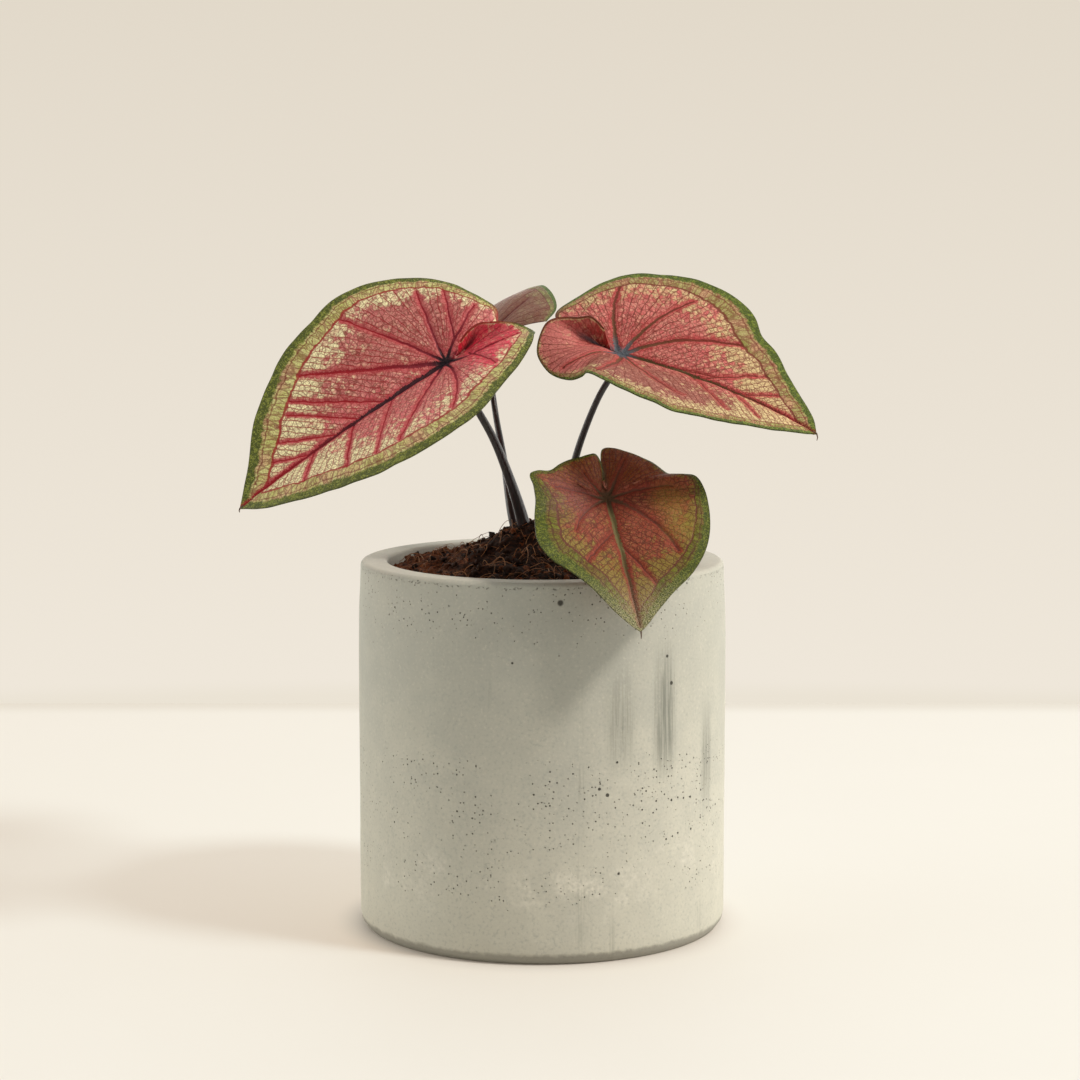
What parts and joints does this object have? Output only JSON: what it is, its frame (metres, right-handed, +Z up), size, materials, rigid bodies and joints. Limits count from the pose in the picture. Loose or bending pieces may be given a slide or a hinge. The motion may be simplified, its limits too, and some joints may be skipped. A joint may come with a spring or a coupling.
{
  "type": "potted caladium",
  "caption": "Young caladium with arrow-shaped pink and brick-red veined leaves on thin dark stalks, rising from a coir mound in a plain cylindrical concrete pot.",
  "frame": {"origin": "centre of the pot's underside, on the surface that the pot stands on", "axes": "+Z up along the pot's axis, -Y towards the viewer of the picture, +X to the viewer's right"},
  "size_m": [0.1802, 0.1446, 0.2124],
  "materials": {
    "concrete": "matte cast concrete with small air pits",
    "coir": "loose dark brown coconut coir",
    "corm": "dry brown tuber skin",
    "stalk": "smooth purple-black stalk",
    "pink blade": "satin pink leaf with dark veins and a green edge",
    "red blade": "satin brick-red leaf with a green edge"
  },
  "bodies": {
    "root": {"pot": "concrete", "soil": "coir", "tuber": "corm", "petiole_left": "stalk", "petiole_right": "stalk", "petiole_front": "stalk", "petiole_back": "stalk", "leaf_left": "pink blade", "leaf_right": "pink blade", "leaf_back": "pink blade", "leaf_front": "red blade"}
  },
  "joints": []
}
